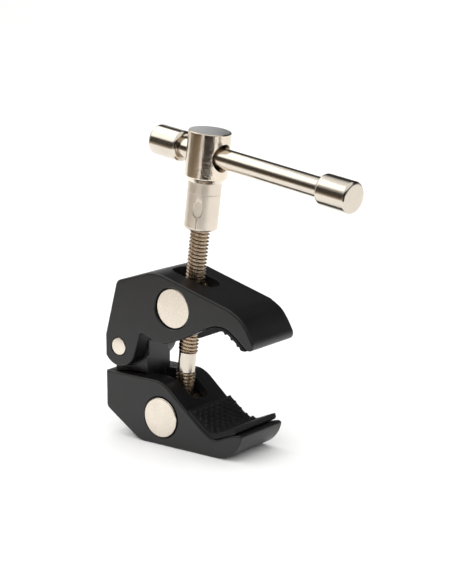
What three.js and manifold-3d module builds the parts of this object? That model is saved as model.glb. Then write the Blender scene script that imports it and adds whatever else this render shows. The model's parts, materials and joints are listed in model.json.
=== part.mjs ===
// A screw clamp: two cast jaws hinged at the rear, drawn together by one screw that is threaded
// right-handed below and left-handed above, in two barrel nuts that turn in the jaws. A sliding
// bar through the hub turns the screw. Millimetres, +Z up, +X towards the jaw tips.
// The origin is on the flat base of the lower jaw, which the clamp stands on.
import * as THREE from "three";
import { mergeVertices } from "three/addons/utils/BufferGeometryUtils.js";
import Module from "manifold-3d";

const wasm = await Module();
wasm.setup();

// Driving dimensions
const gap = 0.3;
const jawWidth = 27.8;
const jawEdge = 0.6;
const hingeX = -33;
const hingeZ = 38.1;
const pinDiameter = 7.2;
const earRadius = 8.5;
const knuckleWidth = 12.6;
const knuckleFront = 10;
const knuckleRadius = 10.2;
const pedestalWidth = 14.8;
const slotWidth = 10.4;
const padWidth = 27.4;

const pivotArm = 34.37;
const upperPivotAngle = 35.2;
const lowerPivotAngle = -49.83;

const trunnionDiameter = 16.5;
const trunnionLength = 27.6;
const upperTrunnionShift = 0.7;
const lowerTrunnionShift = -0.6;
const spotFaceDepth = 7;

const threadDiameter = 8;
const shankDiameter = 7.2;
const shankBottom = 17.64;
const shankTop = 25.26;
const journalDiameter = 5;
const journalTop = -8.8;
const headTop = -10.25;
const screwBottom = -10.95;
const screwTop = 93;
const washerDiameter = 9.8;
const washerThickness = 0.95;

const neckDiameter = 13.5;
const neckBottom = 77.65;
const neckTop = 97.3;
const hubDiameter = 17.2;
const hubBottom = 99.3;
const hubTop = 117.65;
const crossHoleHeight = 108.25;
const crossHoleDiameter = 8.85;
const countersinkDiameter = 12.2;
const stakeHeight = 86.9;

const barDiameter = 8.2;
const barTurn = -4.6;
const barLeft = -27.4;
const barRight = 73.7;
const capDiameter = 12.5;
const capLength = 14.8;
const capSocketDepth = 11.6;

const tapDrillQuarter = 5.2;
const tapDrillThreeEighths = 8;
const threadedDepth = 11;

const roundSides = 40;
const smallSides = 28;
const curveSteps = 6;

const deg = THREE.MathUtils.degToRad;

const upperPivot = polar(pivotArm, upperPivotAngle);
const lowerPivot = polar(pivotArm, lowerPivotAngle);
const screwLean = Math.atan2(upperPivot.x - lowerPivot.x, upperPivot.y - lowerPivot.y);

// Materials
const castBlack = new THREE.MeshStandardMaterial({ color: 0x3a393b, roughness: 0.6, metalness: 0.2 });
const rubberBlack = new THREE.MeshStandardMaterial({ color: 0x1d1d1e, roughness: 0.9, metalness: 0 });
const nickel = new THREE.MeshStandardMaterial({ color: 0xd8cfc2, roughness: 0.22, metalness: 1 });
const zincSteel = new THREE.MeshStandardMaterial({ color: 0xb9b6b0, roughness: 0.35, metalness: 1 });

// Helpers

function polar(radius, degrees) {
  return new THREE.Vector2(radius * Math.cos(deg(degrees)), radius * Math.sin(deg(degrees)));
}

function solid(geometry) {
  const bare = geometry.clone();
  bare.deleteAttribute("normal");
  bare.deleteAttribute("uv");
  const merged = mergeVertices(bare, 1e-4);
  const vertProperties = new Float32Array(merged.attributes.position.array);
  const triVerts = new Uint32Array(merged.index.array);
  return new wasm.Manifold(new wasm.Mesh({ numProp: 3, vertProperties, triVerts }));
}

function geometryOf(body) {
  const mesh = body.getMesh();
  const geometry = new THREE.BufferGeometry();
  geometry.setAttribute("position", new THREE.BufferAttribute(mesh.vertProperties, 3));
  geometry.setIndex(new THREE.BufferAttribute(mesh.triVerts, 1));
  return geometry;
}

function piece(name, body, material) {
  const mesh = new THREE.Mesh(geometryOf(body), material);
  mesh.name = name;
  return mesh;
}

// The outline of a shape with no two points closer than the merging distance.
function cleaned(shape) {
  const points = shape.getPoints(curveSteps);
  const spaced = points.filter((point, i) => point.distanceTo(points.at(i - 1)) > 0.02);
  return new THREE.Shape(spaced);
}

// A shape drawn in X and Z, extruded evenly to both sides of the middle plane.
function slab(shape, width, edge = 0) {
  const geometry = new THREE.ExtrudeGeometry(cleaned(shape), {
    depth: width - 2 * edge,
    bevelEnabled: edge > 0,
    bevelThickness: edge,
    bevelSize: edge,
    bevelOffset: -edge,
    bevelSegments: 1,
  });
  geometry.translate(0, 0, edge - width / 2);
  geometry.rotateX(Math.PI / 2);
  return solid(geometry);
}

function boxBetween(low, high) {
  const size = high.map((value, i) => value - low[i]);
  const geometry = new THREE.BoxGeometry(...size);
  geometry.translate(...high.map((value, i) => (value + low[i]) / 2));
  return solid(geometry);
}

// A cylinder along Y through (x, z).
function crossCylinder(radius, x, z, length, shift = 0, sides = roundSides) {
  const geometry = new THREE.CylinderGeometry(radius, radius, length, sides);
  geometry.translate(x, shift, z);
  return solid(geometry);
}

// A turned body about Z from [radius, height] points that start and end on the axis.
function turned(points, sides = roundSides) {
  const geometry = new THREE.LatheGeometry(points.map(([r, z]) => new THREE.Vector2(r, z)), sides);
  geometry.rotateX(Math.PI / 2);
  return solid(geometry);
}

function rod(diameter, bottom, top, sides = roundSides) {
  const geometry = new THREE.CylinderGeometry(diameter / 2, diameter / 2, top - bottom, sides);
  geometry.rotateX(Math.PI / 2);
  geometry.translate(0, 0, (top + bottom) / 2);
  return solid(geometry);
}

function outline(start) {
  const shape = new THREE.Shape();
  shape.moveTo(...start);
  return shape;
}

function through(shape, points) {
  shape.splineThru(points.map(([x, z]) => new THREE.Vector2(x, z)));
}

// A round-ended slot that runs along X, cut straight down through a jaw.
function screwSlot(left, right, bottom, top) {
  const r = slotWidth / 2;
  const corner = 2.4;
  const shape = outline([left + corner, -r]);
  shape.lineTo(right - corner, -r);
  shape.absarc(right - corner, -r + corner, corner, -Math.PI / 2, 0);
  shape.absarc(right - corner, r - corner, corner, 0, Math.PI / 2);
  shape.absarc(left + corner, r - corner, corner, Math.PI / 2, Math.PI);
  shape.absarc(left + corner, -r + corner, corner, Math.PI, 1.5 * Math.PI);
  const geometry = new THREE.ExtrudeGeometry(cleaned(shape), { depth: top - bottom, bevelEnabled: false });
  geometry.translate(0, 0, bottom);
  return solid(geometry);
}

// A blind hole whose mouth is at (x, z), running inwards at an angle above +X.
function blindHole(diameter, x, z, degrees, depth) {
  const geometry = new THREE.CylinderGeometry(diameter / 2, diameter / 2, depth + 1, smallSides);
  geometry.translate(0, (depth - 1) / 2, 0);
  geometry.rotateZ(-Math.PI / 2);
  geometry.rotateY(-deg(degrees));
  geometry.translate(x, 0, z);
  return solid(geometry);
}

// Lower jaw, about the hinge axis

function lowerJawOutline() {
  const base = -hingeZ;
  const noseX = 49.9;
  const noseRadius = 13.4;
  const shape = outline([-7, -11]);
  shape.lineTo(-7, -25.4);
  shape.quadraticCurveTo(-7, -26.8, -5.7, -27.6);
  shape.lineTo(8.6, -36.8);
  shape.quadraticCurveTo(10.6, base, 13.2, base);
  shape.lineTo(noseX, base);
  shape.absarc(noseX, base + noseRadius, noseRadius, -Math.PI / 2, deg(-15));
  shape.quadraticCurveTo(63.3, -26.3, 60.9, -26.6);
  shape.lineTo(57.5, -27.5);
  through(shape, [[53.4, -29.2], [49.8, -30.5], [46.8, -29.8], [42.4, -26.8], [37.4, -23]]);
  shape.lineTo(27.1, -14.3);
  shape.quadraticCurveTo(23.2, -11, 19.4, -11);
  shape.lineTo(-7, -11);
  return shape;
}

function knuckleOutline() {
  const front = Math.asin(Math.sqrt(1 - (knuckleFront / knuckleRadius) ** 2));
  const rear = Math.PI - Math.acos(7 / knuckleRadius);
  const shape = outline([knuckleFront, -14]);
  shape.lineTo(knuckleFront, knuckleRadius * Math.sin(front));
  shape.absarc(0, 0, knuckleRadius, front, rear);
  shape.lineTo(-7, -14);
  return shape;
}

function pedestalOutline() {
  const shape = outline([knuckleFront, -14]);
  shape.lineTo(knuckleFront, -3.4);
  shape.lineTo(7.4, -5.6);
  shape.lineTo(-7, -5.6);
  shape.lineTo(-7, -14);
  return shape;
}

function lowerJaw() {
  const earRelief = crossCylinder(earRadius + 0.6, 0, 0, 40);
  const pedestal = slab(pedestalOutline(), pedestalWidth).subtract(earRelief);
  return slab(lowerJawOutline(), jawWidth, jawEdge)
    .add(pedestal)
    .add(slab(knuckleOutline(), knuckleWidth))
    .subtract(crossCylinder(pinDiameter / 2 + gap, 0, 0, 40, 0, smallSides))
    .subtract(crossCylinder(trunnionDiameter / 2 + gap, lowerPivot.x, lowerPivot.y, 40))
    .subtract(screwSlot(knuckleFront, 32.5, lowerPivot.y, -5))
    .subtract(screwSlot(11, 27.5, -hingeZ - 1, lowerPivot.y))
    .subtract(blindHole(tapDrillQuarter, -7, -18.4, 0, threadedDepth));
}

// Upper jaw, about the hinge axis

function upperJawOutline() {
  const shape = outline([8.1, -2.6]);
  shape.lineTo(11.1, 6.3);
  shape.quadraticCurveTo(11.7, 7.6, 13.2, 7.1);
  through(shape, [[17, 5.8], [22.1, 4.8], [25.4, 5], [32.5, 7.7]]);
  shape.lineTo(42.6, 12.7);
  through(shape, [[47.6, 15.1], [51.6, 15.9], [55.4, 15.3], [59.9, 12.7]]);
  shape.lineTo(64.3, 9);
  shape.quadraticCurveTo(66.2, 7.6, 67.6, 8.8);
  shape.quadraticCurveTo(69, 10.2, 67.9, 12.4);
  through(shape, [[65.2, 16.9], [62.2, 20.4], [57, 23.5]]);
  shape.lineTo(24.6, 32.6);
  shape.quadraticCurveTo(19.4, 34, 15.2, 32.7);
  shape.lineTo(0.9, 28.2);
  shape.quadraticCurveTo(-0.7, 27.7, -1.3, 25.8);
  shape.lineTo(-7.15, 4.2);
  shape.lineTo(-7.15, -4.6);
  shape.absarc(0, 0, earRadius, Math.PI + Math.acos(7.15 / earRadius), 2 * Math.PI - Math.asin(2.6 / earRadius));
  return shape;
}

// The slot's front wall leans back as it goes down, clear of the pad.
function upperSlot() {
  const front = outline([38, 3]);
  front.lineTo(44, 3);
  front.lineTo(44, 40);
  front.lineTo(40.8, 40);
  return screwSlot(19.6, 41, 0, 40).subtract(slab(front, slotWidth + 1));
}

function upperJaw() {
  const rearTilt = Math.atan2(-7.15 + 1.3, 25.8 - 4.2);
  return slab(upperJawOutline(), jawWidth, jawEdge)
    .subtract(crossCylinder(knuckleRadius + 0.6, 0, 0, knuckleWidth + 2 * gap))
    .subtract(crossCylinder(pinDiameter / 2 + gap, 0, 0, 40, 0, smallSides))
    .subtract(crossCylinder(trunnionDiameter / 2 + gap, upperPivot.x, upperPivot.y, 40))
    .subtract(upperSlot())
    .subtract(blindHole(tapDrillThreeEighths, -3.4, 18.05, THREE.MathUtils.radToDeg(rearTilt), threadedDepth));
}

// Rubber pads, about the hinge axis

function lowerPadOutline() {
  const shape = outline([35.9, -21.3]);
  shape.lineTo(37.6, -22.75);
  through(shape, [[42.5, -26.4], [46.9, -29.4], [49.8, -30.1], [53.2, -28.8], [57.4, -27.15]]);
  shape.lineTo(59.2, -26.75);
  shape.quadraticCurveTo(60.2, -26.2, 60, -25.2);
  shape.lineTo(59.6, -24);
  shape.lineTo(56.8, -24.9);
  through(shape, [[53.6, -26], [50.2, -27.2], [47.2, -27.2], [44.1, -25.8]]);
  shape.lineTo(37, -20.3);
  shape.lineTo(35.9, -21.3);
  return shape;
}

function upperPadOutline() {
  const shape = outline([41, 11.5]);
  shape.lineTo(41.6, 9.7);
  shape.lineTo(47.6, 12.2);
  through(shape, [[51.4, 13.5], [54.2, 13.5], [57.2, 12]]);
  shape.lineTo(61.6, 8.7);
  shape.quadraticCurveTo(63, 7.7, 64.9, 8.1);
  shape.lineTo(59.7, 12.3);
  through(shape, [[55.3, 14.9], [51.6, 15.5], [47.8, 14.8], [42.8, 12.4]]);
  shape.lineTo(41, 11.5);
  return shape;
}

// Barrel nuts and the hinge pin

function trunnionNut(shift) {
  const barrel = crossCylinder(trunnionDiameter / 2, 0, 0, trunnionLength, shift);
  return barrel.subtract(rod(threadDiameter + 2 * gap, -20, 20, smallSides));
}

// The flat under the lower nut that the stop washer meets when the clamp is fully open.
function spotFace() {
  return boxBetween([-9, -5.6, -10], [9, 5.6, -spotFaceDepth]);
}

function hingePin() {
  return crossCylinder(pinDiameter / 2, 0, 0, jawWidth, 0, smallSides);
}

// The screw and what turns with it, along Z from the lower trunnion axis

function clampScrew() {
  const thread = threadDiameter / 2;
  const shank = shankDiameter / 2;
  const journal = journalDiameter / 2;
  return turned([
    [0, screwBottom], [2.6, screwBottom], [3.3, screwBottom + 0.3], [3.3, headTop], [journal, headTop],
    [journal, journalTop], [thread - 0.7, journalTop], [thread, journalTop + 0.7],
    [thread, shankBottom - 0.4], [shank, shankBottom], [shank, shankTop], [thread, shankTop + 0.4],
    [thread, screwTop - 0.8], [thread - 0.8, screwTop], [0, screwTop],
  ], smallSides);
}

function stopWasher() {
  const top = headTop + gap / 2 + washerThickness;
  const ring = rod(washerDiameter, headTop + gap / 2, top);
  return ring.subtract(rod(journalDiameter + 2 * gap, -20, 0, smallSides));
}

function stake(azimuth) {
  const geometry = new THREE.SphereGeometry(1, 20, 14);
  geometry.scale(2.2, 0.9, 3.85);
  geometry.translate(0, -neckDiameter / 2, stakeHeight);
  geometry.rotateZ(deg(azimuth));
  return solid(geometry);
}

function crossHole() {
  const r = crossHoleDiameter / 2;
  const sink = countersinkDiameter / 2;
  const depth = hubDiameter / 2 - 1.3;
  const hole = turned([
    [0, -20], [sink + 7, -20], [sink + 7, -hubDiameter / 2 - 1], [sink, -hubDiameter / 2 + 0.1], [r, -depth + 0.6],
    [r, depth - 0.6], [sink, hubDiameter / 2 - 0.1], [sink + 7, hubDiameter / 2 + 1], [sink + 7, 20], [0, 20],
  ]);
  return alongBar(hole);
}

function alongBar(body) {
  const geometry = geometryOf(body);
  geometry.rotateY(Math.PI / 2);
  geometry.rotateZ(deg(barTurn));
  geometry.translate(0, 0, crossHoleHeight);
  return solid(geometry);
}

function handleHub() {
  const neck = neckDiameter / 2;
  const hub = hubDiameter / 2;
  const body = turned([
    [0, neckBottom], [neck - 1.4, neckBottom], [neck - 0.4, neckBottom + 0.4], [neck, neckBottom + 1.4],
    [neck, neckTop], [hub - 0.2, hubBottom], [hub, hubBottom + 0.4], [hub, hubTop - 0.8],
    [hub - 0.25, hubTop - 0.25], [hub - 0.8, hubTop], [0, hubTop],
  ]);
  return body
    .subtract(rod(threadDiameter + 2 * gap, neckBottom - 1, screwTop + gap, smallSides))
    .subtract(stake(20))
    .subtract(stake(200))
    .subtract(crossHole());
}

function tommyBar() {
  const inset = capLength - capSocketDepth + gap;
  return rod(barDiameter, barLeft + inset, barRight - inset, smallSides);
}

// A cap whose closed end is at zero and whose mouth looks along +Z.
function barCap() {
  const r = capDiameter / 2;
  const socket = barDiameter / 2 + gap;
  return turned([
    [0, 0], [r - 1.3, 0], [r - 0.38, 0.38], [r, 1.3], [r, capLength - 1.5], [r - 0.45, capLength - 0.6],
    [r - 1.2, capLength], [socket, capLength], [socket, capLength - capSocketDepth],
    [0, capLength - capSocketDepth],
  ], smallSides);
}

// Assembly

function placed(child, x, y, z, lean = 0) {
  child.position.set(x, y, z);
  child.rotation.y = lean;
  return child;
}

function hingeGroup() {
  const group = placed(new THREE.Group(), hingeX, 0, hingeZ);
  group.add(piece("lower_jaw", lowerJaw(), castBlack));
  group.add(piece("upper_jaw", upperJaw(), castBlack));
  group.add(piece("lower_pad", slab(lowerPadOutline(), padWidth, 0.3), rubberBlack));
  group.add(piece("upper_pad", slab(upperPadOutline(), padWidth, 0.3), rubberBlack));
  group.add(piece("hinge_pin", hingePin(), nickel));
  return group;
}

function nutMesh(name, body, pivot) {
  return placed(piece(name, body, nickel), hingeX + pivot.x, 0, hingeZ + pivot.y, screwLean);
}

function screwGroup() {
  const group = placed(new THREE.Group(), hingeX + lowerPivot.x, 0, hingeZ + lowerPivot.y, screwLean);
  group.add(piece("clamp_screw", clampScrew(), nickel));
  group.add(piece("screw_stop_washer", stopWasher(), zincSteel));
  group.add(piece("handle_hub", handleHub(), nickel));
  const bar = new THREE.Group();
  bar.position.z = crossHoleHeight;
  bar.rotation.set(0, Math.PI / 2, deg(barTurn), "ZYX");
  bar.add(piece("tommy_bar", tommyBar(), nickel));
  const left = piece("bar_cap_left", barCap(), nickel);
  left.position.z = barLeft;
  const right = piece("bar_cap_right", barCap(), nickel);
  right.position.z = barRight;
  right.rotation.x = Math.PI;
  bar.add(left, right);
  group.add(bar);
  return group;
}

const lowerNut = trunnionNut(lowerTrunnionShift).subtract(spotFace());
const upperNut = trunnionNut(upperTrunnionShift);

const clamp = new THREE.Group();
clamp.add(hingeGroup());
clamp.add(nutMesh("lower_trunnion_nut", lowerNut, lowerPivot));
clamp.add(nutMesh("upper_trunnion_nut", upperNut, upperPivot));
clamp.add(screwGroup());

export default clamp;
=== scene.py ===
"""The looks of a hinged screw clamp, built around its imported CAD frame.

Every piece is shaped in millimetres in the local frame of its joint and then placed in the
row frame in metres: the jaws about the hinge pin, the screw about the lower barrel nut, and
the bar about the hole in the hub.
"""

import json
import math

import bmesh
import bpy
from mathutils import Matrix, Vector

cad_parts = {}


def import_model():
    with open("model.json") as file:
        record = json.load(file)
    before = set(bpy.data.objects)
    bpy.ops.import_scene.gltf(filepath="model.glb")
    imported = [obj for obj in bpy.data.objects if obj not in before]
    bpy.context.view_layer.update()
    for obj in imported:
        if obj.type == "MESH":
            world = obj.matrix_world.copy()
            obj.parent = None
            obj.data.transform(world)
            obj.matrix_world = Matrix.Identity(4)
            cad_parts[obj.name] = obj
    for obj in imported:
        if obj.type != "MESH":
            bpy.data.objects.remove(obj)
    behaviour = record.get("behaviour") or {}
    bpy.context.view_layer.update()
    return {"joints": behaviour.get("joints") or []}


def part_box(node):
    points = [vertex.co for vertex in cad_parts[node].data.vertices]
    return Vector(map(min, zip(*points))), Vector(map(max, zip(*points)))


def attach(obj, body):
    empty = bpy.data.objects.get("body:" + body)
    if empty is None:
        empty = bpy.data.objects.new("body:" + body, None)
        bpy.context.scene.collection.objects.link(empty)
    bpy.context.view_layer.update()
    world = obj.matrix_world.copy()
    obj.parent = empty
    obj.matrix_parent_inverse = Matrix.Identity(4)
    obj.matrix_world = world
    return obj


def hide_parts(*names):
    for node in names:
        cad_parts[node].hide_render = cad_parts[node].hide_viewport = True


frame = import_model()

MM = 0.001

# ---------------------------------------------------------------- what the frame says

joint = {j["name"]: j for j in frame["joints"]}
hinge = Vector(joint["jaw_open"]["pos_m"])
upper_pivot = Vector(joint["upper_nut_turn"]["pos_m"])
lower_pivot = Vector(joint["screw_spin"]["pos_m"])
screw_up = Vector(joint["screw_spin"]["axis"]).normalized()
bar_along = Vector(joint["bar_slide"]["axis"]).normalized()

jaw_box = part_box("lower_jaw")
JAW_WIDTH = (jaw_box[1].y - jaw_box[0].y) / MM
PIN_RADIUS = (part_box("hinge_pin")[1].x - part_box("hinge_pin")[0].x) / MM / 2
BASE = (jaw_box[0].z - hinge.z) / MM


def across(along):
    """The unit vector square to a direction in the middle plane, towards +X."""
    return Vector((along.z, 0, -along.x))


def placed_frame(origin, x_axis, y_axis, z_axis):
    """A matrix from local millimetres to the row frame in metres."""
    turn = Matrix((x_axis, y_axis, z_axis)).transposed().to_4x4()
    return Matrix.Translation(origin) @ turn @ Matrix.Scale(MM, 4)


Y_AXIS = Vector((0, 1, 0))
HINGE_FRAME = Matrix.Translation(hinge) @ Matrix.Scale(MM, 4)
SCREW_FRAME = placed_frame(lower_pivot, across(screw_up), Y_AXIS, screw_up)
LOWER_NUT_FRAME = SCREW_FRAME
UPPER_NUT_FRAME = placed_frame(upper_pivot, across(screw_up), Y_AXIS, screw_up)

# Heights along the screw from the lower nut, and sizes across it, in millimetres
THREAD_RADIUS = 4.0
SHANK_RADIUS = 3.6
PITCH = 1.5
SHANK_BOTTOM = 17.64
SHANK_TOP = 25.26
JOURNAL_RADIUS = 2.5
JOURNAL_TOP = -8.8
HEAD_TOP = -10.25
SCREW_BOTTOM = -10.95
THREAD_END = 80.0
NECK_RADIUS = 6.75
NECK_BOTTOM = 77.65
NECK_TOP = 97.3
HUB_RADIUS = 8.6
HUB_BOTTOM = 99.3
HUB_TOP = 117.65
CROSS_HOLE = 108.25
CROSS_HOLE_RADIUS = 4.28
STAKE_HEIGHT = 86.9
STAKE_AZIMUTHS = (20, 200)
RING = 92.8
BAR_RADIUS = 4.1
BAR_LEFT = -27.4
BAR_RIGHT = 73.7
CAP_RADIUS = 6.25
CAP_LENGTH = 14.8
CAP_SOCKET = 11.6

NUT_RADIUS = 8.25
NUT_LENGTH = 27.6
UPPER_NUT_SHIFT = 0.7
LOWER_NUT_SHIFT = -0.6
SPOT_FACE = 7.0
BORE_RADIUS = 8.55
SLOT_WIDTH = 10.4
KNUCKLE_WIDTH = 12.6
KNUCKLE_FRONT = 10.0
KNUCKLE_RADIUS = 10.2
PEDESTAL_WIDTH = 14.8
EAR_RADIUS = 8.5
JAW_REAR = -7.0
PIN_CLEARANCE = 0.15

# How far the castings' outer edges are rounded, and the edges that cutting leaves
CASTING_ROUND = 0.9
CASTING_EDGE = 0.3

# The tapped sockets in the rear faces, with their mouths' places from the hinge
LOWER_SOCKET_RADIUS = 2.7
LOWER_SOCKET_HEIGHT = -18.4
UPPER_SOCKET_RADIUS = 4.1
UPPER_SOCKET_MOUTH = (-3.4, 18.05)
SOCKET_PITCH = 1.2

# The ends of the upper jaw's sloping rear face
REAR_FACE_LOW = (-7.15, 4.2)
REAR_FACE_HIGH = (-1.3, 25.8)

BAR_ORIGIN = lower_pivot + screw_up * (CROSS_HOLE * MM)
BAR_SIDE = screw_up.cross(bar_along).normalized()
BAR_FRAME = placed_frame(BAR_ORIGIN, BAR_SIDE.cross(bar_along), BAR_SIDE, bar_along)

# ---------------------------------------------------------------- mesh tools

# Points closer than this, in millimetres, are one point
SAME_POINT = 1e-4


class Outline:
    """A closed outline in X and Z, drawn with lines, arcs and curves."""

    def __init__(self, x, z):
        self.points = [Vector((x, z))]

    def line(self, x, z):
        self.points.append(Vector((x, z)))
        return self

    def curve(self, control_x, control_z, x, z, steps=8):
        start = self.points[-1].copy()
        control, end = Vector((control_x, control_z)), Vector((x, z))
        for i in range(1, steps + 1):
            t = i / steps
            point = start * (1 - t) ** 2 + control * (2 * t * (1 - t)) + end * t**2
            self.points.append(point)
        return self

    def arc(self, x, z, radius, first, last, steps=20):
        for i in range(steps + 1):
            a = math.radians(first + (last - first) * i / steps)
            self.points.append(Vector((x + radius * math.cos(a), z + radius * math.sin(a))))
        return self

    def spline(self, *through, steps=6):
        knots = [self.points[-1].copy()] + [Vector(p) for p in through]
        for k in range(len(knots) - 1):
            before = knots[max(k - 1, 0)]
            after = knots[min(k + 2, len(knots) - 1)]
            a, b = knots[k], knots[k + 1]
            for i in range(1, steps + 1):
                t = i / steps
                point = 0.5 * (
                    2 * a
                    + (b - before) * t
                    + (2 * before - 5 * a + 4 * b - after) * t**2
                    + (3 * a - before - 3 * b + after) * t**3
                )
                self.points.append(point)
        return self

    def closed(self, spacing=0.03):
        kept = []
        for point in self.points:
            if not kept or (point - kept[-1]).length > spacing:
                kept.append(point)
        if (kept[0] - kept[-1]).length < spacing:
            kept.pop()
        area = sum(a.x * b.y - b.x * a.y for a, b in zip(kept, kept[1:] + kept[:1]))
        return kept if area > 0 else kept[::-1]


def inset(points, depth):
    """An outline moved inwards by a depth, each corner along its own bisector."""
    moved = []
    for i, point in enumerate(points):
        before = (point - points[i - 1]).normalized()
        after = (points[(i + 1) % len(points)] - point).normalized()
        inward = Vector((-before.y - after.y, before.x + after.x)).normalized()
        lean = max(0.35, inward.dot(Vector((-before.y, before.x))))
        moved.append(point + inward * (depth / lean))
    return moved


def new_object(name, mesh_data):
    """An object for a bmesh or a mesh, in the scene."""
    if isinstance(mesh_data, bmesh.types.BMesh):
        mesh = bpy.data.meshes.new(name)
        mesh_data.to_mesh(mesh)
        mesh_data.free()
    else:
        mesh = mesh_data
    made = bpy.data.objects.new(name, mesh)
    bpy.context.scene.collection.objects.link(made)
    return made


def sheet(name, width, depth):
    """A flat rectangle about its own middle."""
    x, y = width / 2, depth / 2
    mesh = bpy.data.meshes.new(name)
    mesh.from_pydata([(-x, -y, 0), (x, -y, 0), (x, y, 0), (-x, y, 0)], [], [(0, 1, 2, 3)])
    return new_object(name, mesh)


def loft(name, loops, capped=True, looped=False):
    """A skin over loops that all have the same number of points."""
    bm = bmesh.new()
    rings = [[bm.verts.new(p) for p in ring] for ring in loops]
    count = len(rings[0])
    pairs = list(zip(rings, rings[1:]))
    if looped:
        pairs.append((rings[-1], rings[0]))
    for low, high in pairs:
        for i in range(count):
            k = (i + 1) % count
            bm.faces.new((low[i], low[k], high[k], high[i]))
    if capped:
        bm.faces.new(rings[0][::-1])
        bm.faces.new(rings[-1])
    bmesh.ops.recalc_face_normals(bm, faces=bm.faces)
    return new_object(name, bm)


def slab(name, outline, width, edge=0.0, steps=4, shift=0.0):
    """An outline in X and Z carried across Y, with rounded edges."""
    points = outline.closed()
    half = width / 2
    levels = []
    if edge > 0:
        for i in range(steps + 1):
            a = math.pi / 2 * i / steps
            levels.append((-half + edge * (1 - math.sin(a)), edge * (1 - math.cos(a))))
        levels = sorted({(round(y, 5), round(d, 5)) for y, d in levels})
    else:
        levels = [(-half, 0.0)]
    levels = levels + [(-y, d) for y, d in reversed(levels)]
    loops = [[(p.x, y + shift, p.y) for p in inset(points, d)] for y, d in levels]
    return loft(name, loops)


def turned(name, profile, sides=96, axis="Z"):
    """A body turned about an axis, from [radius, height] points; the ends close on the axis."""
    bm = bmesh.new()
    rings = []
    for radius, height in profile:
        if radius < 1e-6:
            rings.append([bm.verts.new(on_axis(0, 0, height, axis))])
            continue
        ring = []
        for i in range(sides):
            a = 2 * math.pi * i / sides
            ring.append(bm.verts.new(on_axis(radius * math.cos(a), radius * math.sin(a), height, axis)))
        rings.append(ring)
    for low, high in zip(rings, rings[1:]):
        for i in range(sides):
            k = (i + 1) % sides
            if len(low) == 1 and len(high) == 1:
                continue
            if len(low) == 1:
                bm.faces.new((low[0], high[k], high[i]))
            elif len(high) == 1:
                bm.faces.new((low[i], low[k], high[0]))
            else:
                bm.faces.new((low[i], low[k], high[k], high[i]))
    bmesh.ops.recalc_face_normals(bm, faces=bm.faces)
    return new_object(name, bm)


def on_axis(u, v, height, axis):
    """A point of a turned body, for a body that is turned about Z or Y."""
    if axis == "Y":
        return (u, height, v)
    return (u, v, height)


def rounded(corner_radius, corner_height, radius, start, end, steps=5):
    """Profile points round a corner, between two angles about a centre."""
    points = []
    for i in range(steps + 1):
        a = math.radians(start + (end - start) * i / steps)
        points.append((corner_radius + radius * math.cos(a), corner_height + radius * math.sin(a)))
    return points


def combine(target, other, operation="DIFFERENCE"):
    """Cuts other from target, or joins it on, and removes other."""
    modifier = target.modifiers.new("combine", "BOOLEAN")
    modifier.operation = operation
    modifier.solver = "EXACT"
    modifier.object = other
    settle(target)
    bpy.data.objects.remove(other)
    return target


def settle(piece):
    """Applies every modifier of a piece to its mesh."""
    bpy.context.view_layer.update()
    graph = bpy.context.evaluated_depsgraph_get()
    mesh = bpy.data.meshes.new_from_object(piece.evaluated_get(graph))
    piece.modifiers.clear()
    old = piece.data
    piece.data = mesh
    bpy.data.meshes.remove(old)
    return piece


def tidied(piece, spacing=0.02):
    """Joins points that cutting left nearly on top of each other, and drops flat edges."""
    bm = bmesh.new()
    bm.from_mesh(piece.data)
    bmesh.ops.remove_doubles(bm, verts=bm.verts, dist=spacing)
    bmesh.ops.dissolve_degenerate(bm, edges=bm.edges, dist=spacing)
    bmesh.ops.dissolve_limit(bm, angle_limit=math.radians(1), verts=bm.verts, edges=bm.edges)
    bm.to_mesh(piece.data)
    bm.free()
    return piece


def soften(piece, width, degrees=50, segments=2):
    """Rounds the edges sharper than an angle."""
    tidied(piece)
    modifier = piece.modifiers.new("soften", "BEVEL")
    modifier.width = width
    modifier.segments = segments
    modifier.limit_method = "ANGLE"
    modifier.angle_limit = math.radians(degrees)
    modifier.use_clamp_overlap = False
    modifier.miter_outer = "MITER_ARC"
    return settle(piece)


def finished(piece, name, placing, body, node, material, sharp=34, zones=(), along=2):
    """Each zone is a material and the two places along one of the piece's own axes between which
    it shows.
    """
    mesh = piece.data
    bm = bmesh.new()
    bm.from_mesh(mesh)
    bmesh.ops.remove_doubles(bm, verts=bm.verts, dist=SAME_POINT)
    bmesh.ops.dissolve_degenerate(bm, edges=bm.edges, dist=SAME_POINT)
    bm.to_mesh(mesh)
    bm.free()
    mesh.materials.clear()
    mesh.materials.append(material)
    for index, (other, low, high) in enumerate(zones, 1):
        mesh.materials.append(other)
        for face in mesh.polygons:
            if low < face.center[along] < high:
                face.material_index = index
    mesh.shade_smooth()
    mesh.set_sharp_from_angle(angle=math.radians(sharp))
    mesh.transform(placing)
    modifier = piece.modifiers.new("weighted", "WEIGHTED_NORMAL")
    modifier.keep_sharp = True
    settle(piece)
    piece.name = name
    piece.data.name = name
    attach(piece, body)
    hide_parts(node)
    return piece


# ---------------------------------------------------------------- materials


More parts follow.
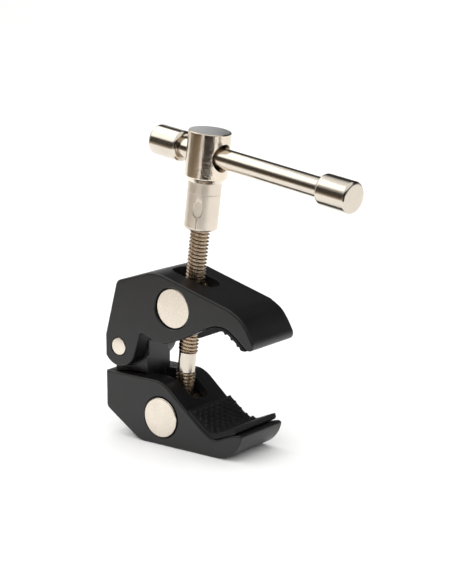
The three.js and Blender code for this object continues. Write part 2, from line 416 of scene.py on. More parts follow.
class Nodes:
    """A material's node tree, with short ways to add and join nodes."""

    def __init__(self, name):
        self.material = bpy.data.materials.new(name)
        self.material.use_nodes = True
        self.tree = self.material.node_tree
        self.shader = self.tree.nodes["Principled BSDF"]
        self.place = self.add("ShaderNodeTexCoord").outputs["Object"]

    def add(self, kind, **values):
        node = self.tree.nodes.new(kind)
        for key, value in values.items():
            if key in node.inputs:
                node.inputs[key].default_value = value
            else:
                setattr(node, key, value)
        return node

    def join(self, output, target):
        self.tree.links.new(output, target)

    def noise(self, scale, detail=3.0, roughness=0.55, stretch=None):
        node = self.add("ShaderNodeTexNoise", Scale=scale, Detail=detail, Roughness=roughness)
        source = self.place
        if stretch is not None:
            mapping = self.add("ShaderNodeMapping")
            mapping.inputs["Scale"].default_value = stretch
            self.join(source, mapping.inputs["Vector"])
            source = mapping.outputs["Vector"]
        self.join(source, node.inputs["Vector"])
        return node.outputs["Fac"]

    def spread(self, source, low, high, from_low=0.3, from_high=0.7):
        """A noise's middle range, stretched to run from low to high."""
        node = self.add("ShaderNodeMapRange")
        node.inputs["From Min"].default_value = from_low
        node.inputs["From Max"].default_value = from_high
        node.inputs["To Min"].default_value = low
        node.inputs["To Max"].default_value = high
        self.join(source, node.inputs["Value"])
        return node.outputs["Result"]

    def colours(self, source, first, second, from_low=0.3, from_high=0.7):
        """A colour that a noise's middle range carries from first to second."""
        ramp = self.add("ShaderNodeValToRGB")
        ramp.color_ramp.elements[0].position = from_low
        ramp.color_ramp.elements[0].color = (*first, 1)
        ramp.color_ramp.elements[1].position = from_high
        ramp.color_ramp.elements[1].color = (*second, 1)
        self.join(source, ramp.inputs["Fac"])
        return ramp.outputs["Color"]

    def bump(self, source, distance, strength=1.0, under=None):
        node = self.add("ShaderNodeBump", Distance=distance, Strength=strength)
        self.join(source, node.inputs["Height"])
        if under is not None:
            self.join(under, node.inputs["Normal"])
        return node.outputs["Normal"]


COAT_DARK = (0.004, 0.0037, 0.0042)
COAT_PALE = (0.006, 0.0056, 0.0061)


def powder_coat():
    """Satin black paint with a fine grain over an orange peel."""
    n = Nodes("black_powder_coat")
    mottle = n.noise(90, detail=4.0)
    grain = n.noise(5200, detail=2.0, roughness=0.6)
    orange_peel = n.noise(1100, detail=2.0, roughness=0.5)
    n.join(n.colours(mottle, COAT_DARK, COAT_PALE), n.shader.inputs["Base Color"])
    n.join(n.spread(orange_peel, 0.3, 0.4), n.shader.inputs["Roughness"])
    n.shader.inputs["Specular IOR Level"].default_value = 0.5
    fine = n.bump(grain, distance=0.00002, strength=0.5)
    n.join(n.bump(orange_peel, distance=0.00006, strength=0.5, under=fine), n.shader.inputs["Normal"])
    return n.material


def nickel_plate(name, tint, rough, grain_height=0.000006, stretch=None, size=3000, detail=3.0):
    """Plated steel.

    rough is the least and the most roughness, and stretch is how fine the grain is along X, Y
    and Z.
    """
    n = Nodes(name)
    stain = n.noise(140, detail=3.0)
    grain = n.noise(size, detail, 0.6, stretch)
    darker, paler, palest = 0.955, 1.05, 0.95
    low = tuple(darker * c for c in tint)
    high = tuple(min(paler * c, palest) for c in tint)
    n.join(n.colours(stain, low, high), n.shader.inputs["Base Color"])
    n.shader.inputs["Metallic"].default_value = 1.0
    n.join(n.spread(grain, *rough), n.shader.inputs["Roughness"])
    n.join(n.bump(grain, grain_height, 1.0), n.shader.inputs["Normal"])
    return n.material


def rubber():
    """Matt black rubber with a faint bloom."""
    n = Nodes("black_rubber")
    bloom = n.noise(160, detail=4.0)
    skin = n.noise(4200, detail=3.0, roughness=0.6)
    dark, pale = (0.006, 0.006, 0.0065), (0.011, 0.011, 0.012)
    n.join(n.colours(bloom, dark, pale), n.shader.inputs["Base Color"])
    n.join(n.spread(skin, 0.6, 0.8), n.shader.inputs["Roughness"])
    n.shader.inputs["Specular IOR Level"].default_value = 0.25
    n.join(n.bump(skin, distance=0.00003, strength=0.6), n.shader.inputs["Normal"])
    return n.material


COAT = powder_coat()
RUBBER = rubber()
NICKEL = nickel_plate("warm_nickel_plate", (0.66, 0.6, 0.52), (0.13, 0.2), grain_height=0.000004)
THREAD_STEEL = nickel_plate("oiled_thread", (0.46, 0.365, 0.27), (0.22, 0.34))
SATIN_NICKEL = nickel_plate("satin_nickel_plate", (0.79, 0.71, 0.61), (0.36, 0.48), stretch=(0.3, 0.3, 3.0))
FACED_NICKEL = nickel_plate("faced_nickel_plate", (0.76, 0.69, 0.6), (0.2, 0.32))
GRAINY_NICKEL = nickel_plate(
    "grainy_nickel_plate", (0.76, 0.67, 0.56), (0.08, 0.15), grain_height=0.00006, size=2200, detail=0.0,
)
CUT_STEEL = nickel_plate("cut_steel", (0.93, 0.95, 0.95), (0.1, 0.16))
ZINC = nickel_plate("zinc_plate", (0.66, 0.64, 0.61), (0.28, 0.4))

# ---------------------------------------------------------------- jaws


def screw_slot(name, left, right, bottom, top, corner=2.4, lean=0.0):
    """A cutter with round corners that runs along X, down through a jaw.

    Its front wall leans back by lean on the way down.
    """
    half = SLOT_WIDTH / 2
    loops = []
    for z, front in ((bottom, right - lean), (top, right)):
        shape = Outline(left + corner, -half)
        shape.arc(front - corner, -half + corner, corner, -90, 0, 8)
        shape.arc(front - corner, half - corner, corner, 0, 90, 8)
        shape.arc(left + corner, half - corner, corner, 90, 180, 8)
        shape.arc(left + corner, -half + corner, corner, 180, 270, 8)
        loops.append([(p.x, p.y, z) for p in shape.closed()])
    return loft(name, loops)


def cross_bore(radius, x, z, chamfer=0.4, beyond=2):
    """A cutter across both jaw sides, which leaves a small chamfer at each mouth."""
    half = JAW_WIDTH / 2
    wide, far = radius + chamfer + beyond, half + beyond
    cutter = turned("bore", [
        (0, -far), (wide, -far), (radius, -half + chamfer), (radius, half - chamfer), (wide, far), (0, far),
    ], 96, "Y")
    cutter.data.transform(Matrix.Translation((x, 0, z)))
    return cutter


def socket(radius, x, z, direction, depth=11.0):
    """A cutter for a tapped socket whose mouth is at (x, z). Plain rings stand for its thread."""
    turns = int(depth / SOCKET_PITCH)
    profile = [(0, -2), (radius + 2.6, -2), (radius + 0.1, 0.5)]
    for i in range(turns):
        low = 0.6 + i * depth / turns
        profile += [(radius, low), (radius + 0.45, low + 0.55)]
    profile += [(radius, depth + 0.6), (0, depth + 2)]
    cutter = turned("socket", profile, 48)
    turn = Vector((0, 0, 1)).rotation_difference(Vector((direction[0], 0, direction[1])))
    cutter.data.transform(Matrix.Translation((x, 0, z)) @ turn.to_matrix().to_4x4())
    return cutter


def pivot_in_jaw(pivot):
    """A pivot's place from the hinge, in millimetres."""
    return (pivot.x - hinge.x) / MM, (pivot.z - hinge.z) / MM


def lower_jaw_outline():
    nose_x, nose_radius = 49.9, 13.4
    shape = Outline(JAW_REAR, -11).line(JAW_REAR, -25.4)
    shape.curve(JAW_REAR, -26.8, -5.7, -27.6).line(8.6, -36.8)
    shape.curve(10.6, BASE, 13.2, BASE).line(nose_x, BASE)
    shape.arc(nose_x, BASE + nose_radius, nose_radius, -90, -15, 24)
    shape.curve(63.3, -26.3, 60.9, -26.6).line(57.5, -27.5)
    shape.spline((53.4, -29.2), (49.8, -30.5), (46.8, -29.8), (42.4, -26.8), (37.4, -23))
    shape.line(27.1, -14.3)
    shape.curve(23.2, -11, 19.4, -11, 12)
    return shape


def knuckle_outline():
    front = math.degrees(math.acos(KNUCKLE_FRONT / KNUCKLE_RADIUS))
    rear = math.degrees(math.pi - math.acos(-JAW_REAR / KNUCKLE_RADIUS))
    shape = Outline(KNUCKLE_FRONT, -16)
    shape.arc(0, 0, KNUCKLE_RADIUS, front, rear, 30)
    return shape.line(JAW_REAR, -16)


def pedestal_outline():
    shape = Outline(KNUCKLE_FRONT, -14).line(KNUCKLE_FRONT, -3.4).line(7.4, -5.6)
    return shape.line(JAW_REAR, -5.6).line(JAW_REAR, -14)


def drum(name, radius, half):
    """A plain round cutter about the hinge pin."""
    return turned(name, [(0, -half), (radius, -half), (radius, half), (0, half)], 96, "Y")


def lower_jaw():
    """The lower casting: two sides and a floor, and the pedestal and knuckle that carry the hinge."""
    jaw = slab("lower_jaw_casting", lower_jaw_outline(), JAW_WIDTH, CASTING_ROUND)
    pedestal = slab("pedestal", pedestal_outline(), PEDESTAL_WIDTH)
    combine(pedestal, drum("relief", EAR_RADIUS + 0.6, PEDESTAL_WIDTH))
    combine(jaw, pedestal, "UNION")
    combine(jaw, slab("knuckle", knuckle_outline(), KNUCKLE_WIDTH), "UNION")
    x, z = pivot_in_jaw(lower_pivot)
    combine(jaw, screw_slot("slot", KNUCKLE_FRONT, 32.5, z, -5))
    combine(jaw, screw_slot("slot", 11, 27.5, BASE - 1, z))
    combine(jaw, cross_bore(BORE_RADIUS, x, z))
    combine(jaw, cross_bore(PIN_RADIUS + PIN_CLEARANCE, 0, 0))
    combine(jaw, socket(LOWER_SOCKET_RADIUS, JAW_REAR, LOWER_SOCKET_HEIGHT, (1, 0)))
    soften(jaw, CASTING_EDGE)
    # Softening pushes a few corners out behind the flat rear face, so they go back onto it
    for corner in jaw.data.vertices:
        corner.co.x = max(corner.co.x, JAW_REAR)
    return finished(jaw, "lower_jaw_casting", HINGE_FRAME, "base", "lower_jaw", COAT)


def upper_jaw_outline():
    shape = Outline(8.1, -2.6).line(11.1, 6.3)
    shape.curve(11.7, 7.6, 13.2, 7.1)
    shape.spline((17, 5.8), (22.1, 4.8), (25.4, 5), (32.5, 7.7)).line(42.6, 12.7)
    shape.spline((47.6, 15.1), (51.6, 15.9), (55.4, 15.3), (59.9, 12.7)).line(64.3, 9)
    shape.curve(66.2, 7.6, 67.6, 8.8).curve(69, 10.2, 67.9, 12.4)
    shape.spline((65.2, 16.9), (62.2, 20.4), (57, 23.5)).line(24.6, 32.6)
    shape.curve(19.4, 34, 15.2, 32.7).line(0.9, 28.2)
    shape.curve(-0.7, 27.7, *REAR_FACE_HIGH).line(*REAR_FACE_LOW).line(REAR_FACE_LOW[0], -4.6)
    first = 180 + math.degrees(math.acos(-REAR_FACE_LOW[0] / EAR_RADIUS))
    last = 360 - math.degrees(math.asin(2.6 / EAR_RADIUS))
    return shape.arc(0, 0, EAR_RADIUS, first, last, 24)


def upper_jaw():
    """The upper casting: two ears round the knuckle, and the slot that the screw swings in."""
    jaw = slab("upper_jaw_casting", upper_jaw_outline(), JAW_WIDTH, CASTING_ROUND)
    x, z = pivot_in_jaw(upper_pivot)
    combine(jaw, drum("cavity", KNUCKLE_RADIUS + 0.6, KNUCKLE_WIDTH / 2 + 0.3))
    combine(jaw, screw_slot("slot", 19.6, 40.9, 0, 40, corner=4.2, lean=2.7))
    combine(jaw, cross_bore(BORE_RADIUS, x, z))
    combine(jaw, cross_bore(PIN_RADIUS + PIN_CLEARANCE, 0, 0))
    rear = Vector([high - low for low, high in zip(REAR_FACE_LOW, REAR_FACE_HIGH)]).normalized()
    combine(jaw, socket(UPPER_SOCKET_RADIUS, *UPPER_SOCKET_MOUTH, (rear.y, -rear.x)))
    soften(jaw, CASTING_EDGE)
    return finished(jaw, "upper_jaw_casting", HINGE_FRAME, "swing_jaw", "upper_jaw", COAT)


# ---------------------------------------------------------------- rubber pads


PAD_WIDTH = 27.4
PAD_EDGE = 0.25
TOOTH_HEIGHT = 1.05
TOOTH_BASE = 2.0
TOOTH_TIP = 0.5
TOOTH_STEP = 1.85
# How far a tooth's foot is sunk in the floor of its pad
TOOTH_ROOT = 0.15
# Where the rows of teeth start and end across the pads
LOWER_ROWS = (-12.7, 13.65)
UPPER_ROWS = (-13.65, 12.7)


def lower_tooth_floor():
    return Outline(37.3, -21.15).line(44.1, -26.45).spline((47.2, -27.85), (50.0, -27.9), (52.6, -27.0))


def lower_pad_outline():
    shape = Outline(35.9, -21.3).line(37.6, -22.95)
    shape.spline((42.5, -26.6), (46.9, -29.6), (49.8, -30.3), (53.2, -29.0), (57.4, -27.35))
    shape.line(59.2, -26.75)
    shape.curve(60.2, -26.2, 60, -25.2).line(59.6, -24)
    shape.line(58.4, -24.4)
    for point in reversed(lower_tooth_floor().points):
        shape.line(*point)
    return shape.line(36.9, -20.5)


def upper_tooth_floor():
    return Outline(61.7, 9.3).line(57.3, 12.6).spline((54.5, 14.1), (52.2, 14.3))


def upper_pad_outline():
    shape = Outline(41, 11.5).line(41.6, 9.7).line(47.6, 12.2)
    for point in reversed(upper_tooth_floor().points):
        shape.line(*point)
    shape.line(62, 8.4).curve(63.2, 7.6, 64.9, 8.1)
    shape.line(59.7, 12.5)
    shape.spline((55.3, 15.1), (51.6, 15.7), (47.8, 15.0), (42.8, 12.6))
    return shape


def walked(path, distance):
    """The point at a distance along a path, and the path's direction there."""
    for start, end in zip(path, path[1:]):
        length = (end - start).length
        if distance <= length:
            return start + (end - start) * (distance / length), (end - start) / length
        distance -= length
    return None, None


def tooth(bm, centre, along, y):
    """A four-sided tooth with a small flat tip, standing out of the floor of a pad."""
    out = Vector((-along.y, along.x))
    corners = []
    for half, rise in ((TOOTH_BASE / 2, -TOOTH_ROOT), (TOOTH_TIP / 2, TOOTH_HEIGHT)):
        for u, v in ((-1, -1), (1, -1), (1, 1), (-1, 1)):
            point = centre + along * (u * half) + out * rise
            corners.append(bm.verts.new((point.x, y + v * half, point.y)))
    base, tip = corners[:4], corners[4:]
    bm.faces.new(tip)
    bm.faces.new(base[::-1])
    for i in range(4):
        k = (i + 1) % 4
        bm.faces.new((base[i], base[k], tip[k], tip[i]))


def toothed(pad, path, start, end):
    """Adds staggered rows of teeth to a pad, along a path and between two places across it."""
    bm = bmesh.new()
    bm.from_mesh(pad.data)
    row = 0
    while True:
        centre, along = walked(path, (row + 0.6) * TOOTH_STEP)
        if centre is None:
            break
        y = start + TOOTH_BASE / 2 + (row % 2) * TOOTH_STEP
        while y + TOOTH_BASE / 2 <= end:
            tooth(bm, centre, along, y)
            y += 2 * TOOTH_STEP
        row += 1
    bmesh.ops.recalc_face_normals(bm, faces=bm.faces)
    bm.to_mesh(pad.data)
    bm.free()


def pads():
    lower = slab("lower_pad_rubber", lower_pad_outline(), PAD_WIDTH, PAD_EDGE, 3)
    toothed(lower, lower_tooth_floor().points, *LOWER_ROWS)
    finished(lower, "lower_pad_rubber", HINGE_FRAME, "base", "lower_pad", RUBBER)
    upper = slab("upper_pad_rubber", upper_pad_outline(), PAD_WIDTH, PAD_EDGE, 3)
    toothed(upper, upper_tooth_floor().points, *UPPER_ROWS)
    finished(upper, "upper_pad_rubber", HINGE_FRAME, "swing_jaw", "upper_pad", RUBBER)


# ---------------------------------------------------------------- pin, nuts and washer


def barrel(radius, length, shift, edge=0.5):
    """A plain pin across the clamp with rounded rims, whose middle is at shift."""
    half = length / 2
    profile = [(0, shift - half)]
    profile += rounded(radius - edge, shift - half + edge, edge, -90, 0)
    profile += rounded(radius - edge, shift + half - edge, edge, 0, 90)
    profile += [(0, shift + half)]
    return turned("barrel", profile, 96, "Y")


def screw_bore():
    """A cutter for the screw's plain hole through a nut, with a wide countersink at each mouth."""
    r = THREAD_RADIUS + 0.12
    wide, far = r + 3, 12
    return turned("bore", [
        (0, -far), (wide, -far), (wide, -9), (r, -7.4), (r, 7.4), (wide, 9), (wide, far), (0, far),
    ], 64)


def nuts():
    lower = barrel(NUT_RADIUS, NUT_LENGTH, LOWER_NUT_SHIFT)
    combine(lower, screw_bore())
    reach, spot_width = 9, 11.2
    flat = Outline(-reach, -10).line(reach, -10).line(reach, -SPOT_FACE).line(-reach, -SPOT_FACE)
    combine(lower, slab("flat", flat, spot_width))
    sides = [(THREAD_STEEL, -12, 12)]
    finished(
        lower, "lower_barrel_nut", LOWER_NUT_FRAME, "lower_nut", "lower_trunnion_nut",
        FACED_NICKEL, 34, sides, 1,
    )
    upper = barrel(NUT_RADIUS, NUT_LENGTH, UPPER_NUT_SHIFT)
    combine(upper, screw_bore())
    finished(
        upper, "upper_barrel_nut", UPPER_NUT_FRAME, "upper_nut", "upper_trunnion_nut",
        FACED_NICKEL, 34, sides, 1,
    )


def hinge_pin():
    pin = barrel(PIN_RADIUS, JAW_WIDTH, 0, 0.3)
    finished(pin, "hinge_pin_plated", HINGE_FRAME, "swing_jaw", "hinge_pin", FACED_NICKEL)


def stop_washer():
    low, high, inner, outer = HEAD_TOP + 0.15, HEAD_TOP + 1.1, JOURNAL_RADIUS + 0.3, 4.9
    edge, sides = 0.2, 64
    profile = rounded(outer - edge, low + edge, edge, -90, 0, 3)
    profile += rounded(outer - edge, high - edge, edge, 0, 90, 3)
    profile += [(inner, high), (inner, low)]
    angles = [2 * math.pi * i / sides for i in range(sides)]
    rings = []
    for radius, height in profile:
        rings.append([(radius * math.cos(a), radius * math.sin(a), height) for a in angles])
    washer = loft("washer", rings, False, True)
    finished(
        washer, "screw_end_washer", SCREW_FRAME, "stop_washer", "screw_stop_washer", ZINC,
    )


# ---------------------------------------------------------------- screw

THREAD_SIDES = 48
# A metric thread's depth is this share of its pitch
ROOT_RADIUS = THREAD_RADIUS - 0.6134 * PITCH
# A thread fades at its ends to just under the shank
FADED_RADIUS = SHANK_RADIUS - 0.06
PEENED_RADIUS = 3.3
# How far the plain lengths run on into the threads
OVERLAP = 0.3
# The thread's section over one pitch: (share of the pitch, how far from root to crest)
THREAD_SECTION = ((0.0, 0.0), (0.22, 0.0), (0.44, 0.86), (0.5, 1.0), (0.62, 1.0), (0.68, 0.86), (0.9, 0.0))


def thread_rings(bottom, top, hand, fade_low, fade_high, end_radius):
    """Rings that climb as a helix from bottom to top. hand is 1 for a right-hand thread.

    Points past an end are held at it, where the thread has faded to end_radius, so each end is
    one flat ring.
    """
    rings = []
    first = math.floor(bottom / PITCH) - 1
    last = math.ceil(top / PITCH) + 1
    for turn in range(first, last):
        for share, rise in THREAD_SECTION:
            ring = []
            for i in range(THREAD_SIDES):
                a = 2 * math.pi * i / THREAD_SIDES
                height = (turn + share + hand * i / THREAD_SIDES) * PITCH
                height = min(max(height, bottom), top)
                full = min((height - bottom) / fade_low, (top - height) / fade_high, 1.0)
                radius = ROOT_RADIUS + (THREAD_RADIUS - ROOT_RADIUS) * rise
                radius = end_radius + (radius - end_radius) * full
                ring.append((radius * math.cos(a), radius * math.sin(a), height))
            rings.append(ring)
    return rings


def helical_rings(bottom, top, hand, fade_low, fade_high, end_radius):
    """The rings of a helix, with the faces between two turns closed along the climb."""
    bm = bmesh.new()
    turns = thread_rings(bottom, top, hand, fade_low, fade_high, end_radius)
    rows = [[bm.verts.new(p) for p in ring] for ring in turns]
    per_turn = len(THREAD_SECTION)
    for low, high in zip(rows, rows[1:]):
        for i in range(THREAD_SIDES - 1):
            bm.faces.new((low[i], low[i + 1], high[i + 1], high[i]))
    end = THREAD_SIDES - 1
    for r in range(len(rows) - 1):
        low = r + hand * per_turn
        if 0 <= low and low + 1 < len(rows):
            bm.faces.new((rows[r][end], rows[low][0], rows[low + 1][0], rows[r + 1][end]))
    bmesh.ops.remove_doubles(bm, verts=bm.verts, dist=SAME_POINT)
    return bm


def screw():
    """A peened journal, a right-hand thread, a plain shank and a left-hand thread, in one piece."""
    pieces = []
    for low, high, hand, fades in (
        (JOURNAL_TOP, SHANK_BOTTOM, 1, (1.6, 0.7)),
        (SHANK_TOP, THREAD_END, -1, (0.7, 1.0)),
    ):
        bm = helical_rings(low, high, hand, *fades, FADED_RADIUS)
        open_edges = [e for e in bm.edges if e.is_boundary]
        bmesh.ops.holes_fill(bm, edges=open_edges, sides=0)
        bmesh.ops.recalc_face_normals(bm, faces=bm.faces)
        pieces.append(new_object("thread", bm))
    rod = pieces[0]
    shank = turned("shank", [
        (0, SHANK_BOTTOM - OVERLAP), (SHANK_RADIUS, SHANK_BOTTOM - OVERLAP),
        (SHANK_RADIUS, SHANK_TOP + OVERLAP), (0, SHANK_TOP + OVERLAP),
    ], THREAD_SIDES * 2)
    journal = turned("journal", [
        (0, SCREW_BOTTOM), (2.2, SCREW_BOTTOM), (3.0, SCREW_BOTTOM + 0.15),
        (PEENED_RADIUS, SCREW_BOTTOM + 0.45), (PEENED_RADIUS, HEAD_TOP), (JOURNAL_RADIUS, HEAD_TOP),
        (JOURNAL_RADIUS, JOURNAL_TOP + 0.4), (0, JOURNAL_TOP + 0.4),
    ], THREAD_SIDES)
    combine(rod, journal, "UNION")
    combine(rod, shank, "UNION")
    combine(rod, pieces[1], "UNION")
    finished(
        rod, "double_thread_screw", SCREW_FRAME, "screw", "clamp_screw", THREAD_STEEL, 28,
        [(NICKEL, SHANK_BOTTOM, SHANK_TOP)],
    )


# ---------------------------------------------------------------- hub, bar and caps


def stake(azimuth):
    """A cutter for the flat-bottomed oval mark that locks the neck on the screw."""
    mark = turned("stake", [(0, 0), (0.84, 0), (0.93, 0.1), (0.97, 0.3), (1.04, 1.2), (0, 1.2)], 64)
    turn = Matrix.Rotation(math.radians(azimuth), 4, "Z")
    outwards = Matrix.Rotation(math.radians(90), 4, "X")
    oval = Matrix.Diagonal((2.15, 3.8, 1, 1))
    mark.data.transform(turn @ Matrix.Translation((0, 0.62 - NECK_RADIUS, STAKE_HEIGHT)) @ outwards @ oval)
    return mark


def seam(azimuth):
    """A cutter for the hairline that runs from a stake mark to the foot of the neck."""
    line = Outline(-0.07, NECK_BOTTOM - 1).line(0.07, NECK_BOTTOM - 1)
    line.line(0.05, STAKE_HEIGHT - 3.6).line(-0.05, STAKE_HEIGHT - 3.6)
    cutter = slab("seam", line, 1, 0, 4, -NECK_RADIUS - 0.38)
    cutter.data.transform(Matrix.Rotation(math.radians(azimuth), 4, "Z"))
    return cutter


def cross_hole():
    """A cutter for the bar's hole through the hub, with a deep countersink at both ends."""
    hole, sink, far = CROSS_HOLE_RADIUS, 5.6, 16
    mouth = [
        (hole, HUB_RADIUS - 3.4), (hole + 0.45, HUB_RADIUS - 2.4), (sink, HUB_RADIUS + 0.05),
        (sink + 2, HUB_RADIUS + 1.6), (sink + 8, far), (0, far),
    ]
    other_mouth = [(radius, -height) for radius, height in reversed(mouth)]
    cutter = turned("cross_hole", other_mouth + mouth, 96)
    cutter.data.transform(SCREW_FRAME.inverted() @ BAR_FRAME)
    return cutter


def hub():
    """The neck that is staked on the screw, with a turned ring round it, and the drilled head."""
    foot, rim = 1.4, 0.55
    profile = [(0, NECK_BOTTOM)]
    profile += rounded(NECK_RADIUS - foot, NECK_BOTTOM + foot, foot, -90, 0, 6)
    profile += [(NECK_RADIUS, RING - 0.15), (NECK_RADIUS - 0.1, RING), (NECK_RADIUS, RING + 0.15)]
    profile += [(NECK_RADIUS, NECK_TOP)]
    profile += rounded(HUB_RADIUS - 0.6, HUB_BOTTOM + 0.4, 0.6, -40, 0, 4)
    profile += rounded(HUB_RADIUS - rim, HUB_TOP - rim, rim, 0, 90, 5)
    profile += [(0, HUB_TOP)]
    body = turned("hub", profile, 128)
    below, bore, bore_top = NECK_BOTTOM - 1, 4.3, 93.3
    combine(body, turned("bore", [(0, below), (bore, below), (bore, bore_top), (0, bore_top)], 64))
    for azimuth in STAKE_AZIMUTHS:
        combine(body, stake(azimuth))
        combine(body, seam(azimuth))
    combine(body, cross_hole())
    soften(body, 0.12, 40)
    finished(
        body, "staked_handle_hub", SCREW_FRAME, "screw", "handle_hub", GRAINY_NICKEL, 30,
        [(SATIN_NICKEL, NECK_BOTTOM - 1, NECK_TOP + 0.3), (CUT_STEEL, HUB_TOP - 0.05, HUB_TOP + 1)],
    )


def cap_profile():
    """A pressed cap from its closed end to its mouth, with an elliptical shoulder, and its socket."""
    mouth, lip, end_round = BAR_RADIUS + 0.08, 0.2, 1.3
    shoulder, drop, steps = 1.5, 1.2, 9
    profile = [(0, 0)] + rounded(CAP_RADIUS - end_round, end_round, end_round, -90, 0, 8)
    for i in range(steps + 1):
        a = math.pi / 2 * i / steps
        height = CAP_LENGTH - shoulder * (1 - math.sin(a))
        profile.append((CAP_RADIUS - drop * (1 - math.cos(a)), height))
    profile += [(mouth + lip, CAP_LENGTH), (mouth, CAP_LENGTH - lip)]
    return profile + [(mouth, CAP_LENGTH - CAP_SOCKET), (0, CAP_LENGTH - CAP_SOCKET)]


def bar_and_caps():
    end_gap, chamfer = 0.3, 0.5
    start = BAR_LEFT + CAP_LENGTH - CAP_SOCKET + end_gap
    end = BAR_RIGHT - CAP_LENGTH + CAP_SOCKET - end_gap
    bar = turned("bar", [
        (0, start), (BAR_RADIUS - chamfer, start), (BAR_RADIUS, start + chamfer),
        (BAR_RADIUS, end - chamfer), (BAR_RADIUS - chamfer, end), (0, end),
    ], 96)
    finished(bar, "sliding_tommy_bar", BAR_FRAME, "bar", "tommy_bar", NICKEL)
    profile = cap_profile()
    for side, at, turn in (("left", BAR_LEFT, 0), ("right", BAR_RIGHT, math.pi)):
        cap = turned("cap", profile, 96)
        cap.data.transform(Matrix.Translation((0, 0, at)) @ Matrix.Rotation(turn, 4, "X"))
        finished(cap, f"pressed_cap_{side}", BAR_FRAME, "bar", f"bar_cap_{side}", NICKEL)


# ---------------------------------------------------------------- studio


# The photograph's view, solved from the outlines of the jaw sides: millimetres, degrees, metres
LENS = 106.42
SENSOR = 36
VIEW_AZIMUTH = 37.392
VIEW_ELEVATION = 12.845
VIEW_DISTANCE = 0.71878
VIEW_RIGHT = 0.035669
VIEW_UP = 0.019862


def camera():
    """A long lens at the photograph's angle."""
    made = bpy.data.cameras.new("camera")
    made.lens = LENS
    made.sensor_width = SENSOR
    seat = bpy.data.objects.new("camera", made)
    bpy.context.scene.collection.objects.link(seat)
    azimuth, elevation = math.radians(VIEW_AZIMUTH), math.radians(VIEW_ELEVATION)
    level = math.cos(elevation)
    back = Vector((math.sin(azimuth) * level, -math.cos(azimuth) * level, math.sin(elevation)))
    right = Vector((math.cos(azimuth), math.sin(azimuth), 0))
    up = back.cross(right)
    where = hinge + back * VIEW_DISTANCE + right * VIEW_RIGHT + up * VIEW_UP
    seat.matrix_world = Matrix.Translation(where) @ Matrix((right, up, back)).transposed().to_4x4()
    bpy.context.scene.camera = seat


def area_light(name, place, target, size, power, colour=(1, 1, 1)):
    made = bpy.data.lights.new(name, "AREA")
    made.shape = "RECTANGLE"
    made.size, made.size_y = size
    made.energy = power
    made.color = colour
    lamp = bpy.data.objects.new(name, made)
    bpy.context.scene.collection.objects.link(lamp)
    lamp.location = place
    lamp.rotation_euler = (Vector(target) - Vector(place)).to_track_quat("-Z", "Y").to_euler()
    return lamp


def wash_light(name, place, target, size, power):
    """A light that no reflection shows."""
    area_light(name, place, target, size, power).visible_glossy = False


# Brightness by the sine of the height above the horizon, towards the front and the back
FRONT_BANDS = ((0.0, 0.16), (0.36, 0.18), (0.56, 0.95), (1.0, 1.05))
BACK_BANDS = ((0.0, 0.5), (0.36, 0.5), (0.42, 0.05), (0.68, 0.05), (0.86, 1.0), (1.0, 1.05))
# The way to the backdrop, and between which cosines of the angle from it the front fades into the back
BACKDROP_WAY = (-0.75, 0.66, 0)
FADE_START = -0.15
FADE_END = 0.3


def world():
    """A studio's surroundings: a lit ceiling, a dim room, and a grey backdrop with a dark gap over it."""
    made = bpy.data.worlds.new("studio")
    bpy.context.scene.world = made
    made.use_nodes = True
    tree = made.node_tree
    tree.nodes["Background"].inputs["Strength"].default_value = 1.0
    toward = tree.nodes.new("ShaderNodeTexCoord").outputs["Generated"]
    split = tree.nodes.new("ShaderNodeSeparateXYZ")
    tree.links.new(toward, split.inputs["Vector"])
    behind = tree.nodes.new("ShaderNodeVectorMath")
    behind.operation = "DOT_PRODUCT"
    behind.inputs[1].default_value = BACKDROP_WAY
    tree.links.new(toward, behind.inputs[0])
    side = tree.nodes.new("ShaderNodeMapRange")
    side.inputs["From Min"].default_value = FADE_START
    side.inputs["From Max"].default_value = FADE_END
    tree.links.new(behind.outputs["Value"], side.inputs["Value"])
    bands = []
    for levels in (FRONT_BANDS, BACK_BANDS):
        ramp = tree.nodes.new("ShaderNodeValToRGB")
        fill_ramp(ramp.color_ramp, levels)
        tree.links.new(split.outputs["Z"], ramp.inputs["Fac"])
        bands.append(ramp.outputs["Color"])
    mix = tree.nodes.new("ShaderNodeMix")
    mix.data_type = "RGBA"
    tree.links.new(side.outputs["Result"], mix.inputs["Factor"])
    tree.links.new(bands[0], mix.inputs[6])
    tree.links.new(bands[1], mix.inputs[7])
    tree.links.new(mix.outputs[2], tree.nodes["Background"].inputs["Color"])


def fill_ramp(ramp, levels):
    """Sets a ramp's stops from [place, brightness] pairs."""
    while len(ramp.elements) < len(levels):
        ramp.elements.new(0.5)
    for element, (place, level) in zip(ramp.elements, levels):
        element.position = place
        element.color = (level, level, level * 0.985, 1)


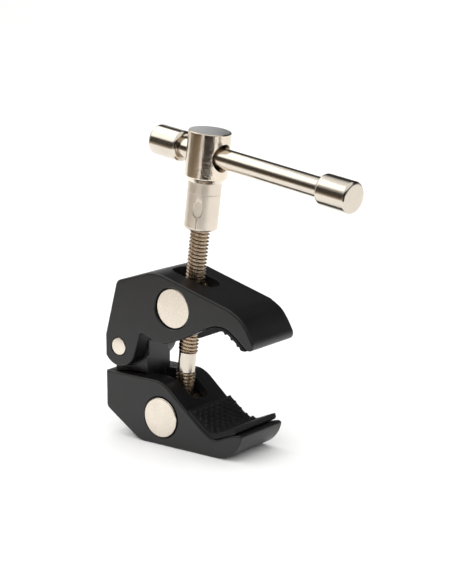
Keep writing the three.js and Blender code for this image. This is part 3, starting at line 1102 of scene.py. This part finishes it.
def card(name, place, target, size, colour):
    """A flat card that the plating reflects and that no view shows."""
    made = sheet(name, *size)
    made.location = place
    made.rotation_euler = (Vector(target) - Vector(place)).to_track_quat("Z", "Y").to_euler()
    n = Nodes(name)
    paler = tuple(1.1 * c for c in colour)
    n.join(n.colours(n.noise(4, detail=2.0), colour, paler), n.shader.inputs["Base Color"])
    n.shader.inputs["Roughness"].default_value = 0.9
    made.data.materials.append(n.material)
    made.visible_camera = False
    made.visible_shadow = False
    made.visible_diffuse = False


def floor():
    """A pale floor, in metres."""
    ground = sheet("floor", 24, 24)
    n = Nodes("pale_floor")
    dark, pale = (0.86, 0.86, 0.86), (0.9, 0.9, 0.9)
    n.join(n.colours(n.noise(3, detail=2.0), dark, pale), n.shader.inputs["Base Color"])
    n.shader.inputs["Roughness"].default_value = 0.9
    ground.data.materials.append(n.material)


def cards():
    """Each card with its place, the point that it faces, its size and its colour."""
    card("front_card", (0.15, -0.2, 0.13), (0, 0, 0.13), (0.3, 0.26), (0.02, 0.016, 0.012))
    card("rear_card", (0.09, 0.54, 0.48), (0, 0, 0.05), (1.2, 0.5), (0.008, 0.008, 0.008))
    card("bar_card", (-0.17, -0.32, 0.17), (0, 0, 0.17), (0.36, 0.2), (0.045, 0.036, 0.027))
    card("low_card", (-0.17, -0.33, 0.035), (0, 0, 0.035), (0.36, 0.07), (0.3, 0.23, 0.155))
    card("side_card", (-0.36, -0.2, 0.06), (0, 0, 0.06), (0.3, 0.12), (0.24, 0.2, 0.15))


def lights():
    """A warm key light, and washes with their places, targets, sizes and watts."""
    area_light("key", (-0.95, -0.15, 1.0), (0, 0, 0.08), (1.6, 0.9), 6.5, (1, 0.985, 0.965))
    wash_light("floor_wash", (-0.2, 1.0, 2.4), (-0.2, 1.0, 0), (3.2, 3.2), 30)
    wash_light("front_wash", (0.7, -1.0, 0.55), (0.02, -0.05, 0), (1.6, 0.5), 7.5)
    wash_light("far_wash", (-2, 3.6, 2.4), (-2, 3.6, 0), (4, 4), 52)
    wash_light("near_wash", (-1.5, -3.9, 2.4), (-1.5, -3.9, 0), (6, 4), 70)


bpy.context.scene.view_settings.view_transform = "Standard"
camera()
world()
floor()
cards()
lights()
lower_jaw()
upper_jaw()
pads()
hinge_pin()
nuts()
stop_washer()
screw()
hub()
bar_and_caps()
